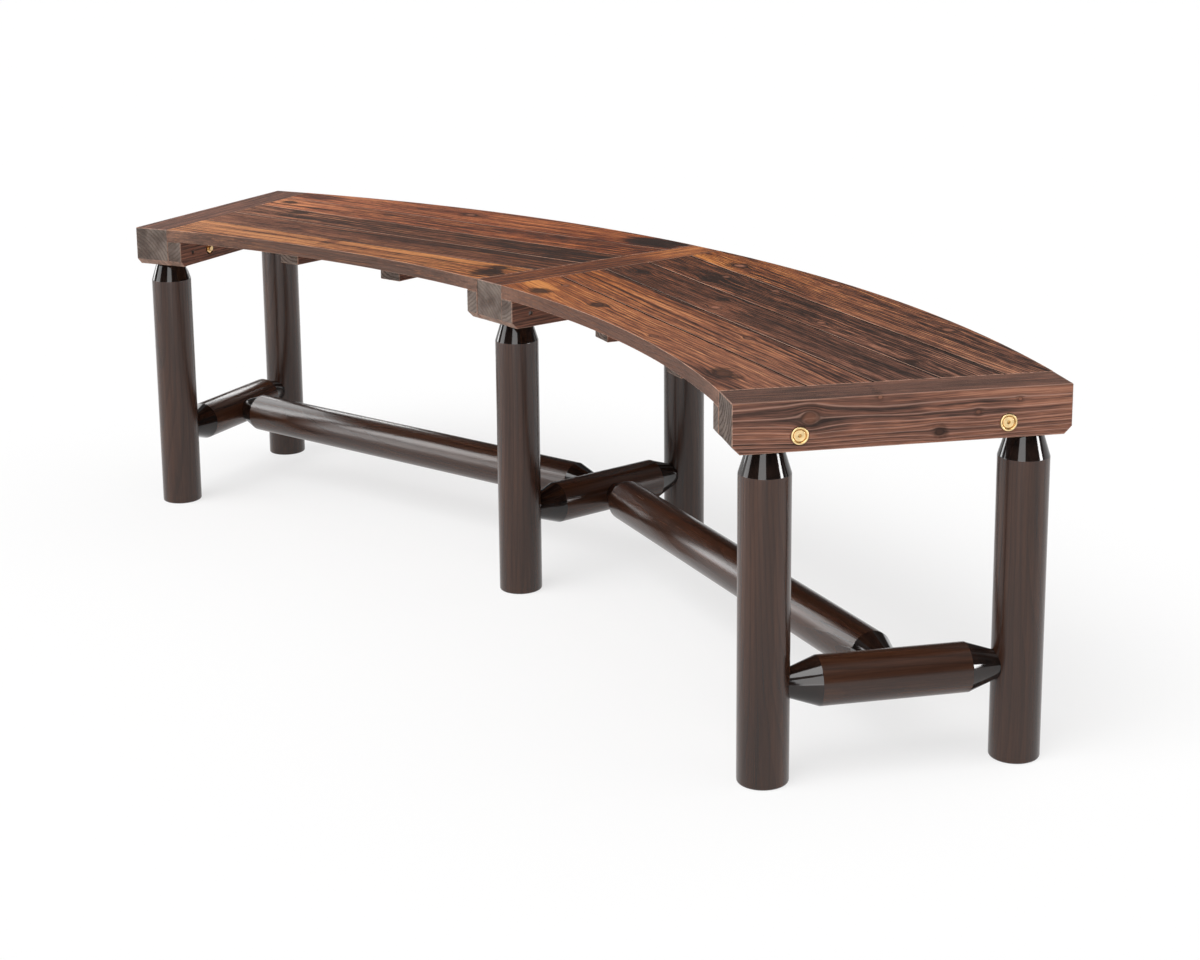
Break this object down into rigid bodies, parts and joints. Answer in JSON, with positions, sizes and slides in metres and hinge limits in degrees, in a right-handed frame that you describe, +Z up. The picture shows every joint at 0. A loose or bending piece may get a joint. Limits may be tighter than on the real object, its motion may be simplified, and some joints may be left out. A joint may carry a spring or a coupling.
{
  "type": "curved garden bench",
  "caption": "Backless curved wooden garden bench with slatted seat halves between radial rails on turned legs tied by turned stretchers.",
  "frame": {"origin": "on the ground, under the middle of the bench's outline", "axes": "+Z up, +X to the right seen from the hollow side of the curve, which faces -Y"},
  "size_m": [1.765, 0.5687, 0.45],
  "materials": {
    "slat_wood_warm": "heat-treated softwood, orange-brown with dark streaks and knots, satin oil",
    "slat_wood_dark": "heat-treated softwood, charcoal brown with reddish streaks, satin oil",
    "rail_wood": "heat-treated softwood beam, reddish brown with raised grain, satin oil",
    "batten_wood": "heat-treated softwood, greyish brown, plain sawn",
    "turned_wood": "turned softwood, espresso brown, satin oil, glossier on the cones",
    "brass": "pale yellow plated, satin",
    "steel": "zinc plated, satin"
  },
  "bodies": {
    "root": {"seat_slat_left_1": "slat_wood_warm", "seat_slat_left_2": "slat_wood_dark", "seat_slat_left_3": "slat_wood_dark", "seat_slat_left_4": "slat_wood_warm", "seat_slat_left_5": "slat_wood_warm", "seat_slat_right_1": "slat_wood_warm", "seat_slat_right_2": "slat_wood_warm", "seat_slat_right_3": "slat_wood_dark", "seat_slat_right_4": "slat_wood_dark", "seat_slat_right_5": "slat_wood_warm", "centre_rail": "rail_wood", "end_rail_left": "rail_wood", "end_rail_right": "rail_wood", "centre_cleat_left": "rail_wood", "centre_cleat_right": "rail_wood", "end_cleat_left": "rail_wood", "end_cleat_right": "rail_wood", "batten_left_inner": "batten_wood", "batten_left_outer": "batten_wood", "batten_right_inner": "batten_wood", "batten_right_outer": "batten_wood", "leg_front_left": "turned_wood", "leg_front_centre": "turned_wood", "leg_front_right": "turned_wood", "leg_back_left": "turned_wood", "leg_back_centre": "turned_wood", "leg_back_right": "turned_wood", "cross_stretcher_left": "turned_wood", "cross_stretcher_centre": "turned_wood", "cross_stretcher_right": "turned_wood", "long_stretcher_left": "turned_wood", "long_stretcher_right": "turned_wood", "rail_bolt_left_front": "brass", "rail_bolt_left_back": "brass", "rail_bolt_right_front": "brass", "rail_bolt_right_back": "brass", "rail_nut_left_front": "brass", "rail_nut_left_back": "brass", "rail_nut_right_front": "brass", "rail_nut_right_back": "brass", "rail_washer_left_front": "steel", "rail_washer_left_back": "steel", "rail_washer_right_front": "steel", "rail_washer_right_back": "steel", "leg_lock_screw_left_front": "steel", "leg_lock_screw_left_back": "steel", "leg_lock_screw_right_front": "steel", "leg_lock_screw_right_back": "steel", "leg_lock_screw_centre_left_front": "steel", "leg_lock_screw_centre_left_back": "steel", "leg_lock_screw_centre_right_front": "steel", "leg_lock_screw_centre_right_back": "steel"}
  },
  "joints": []
}
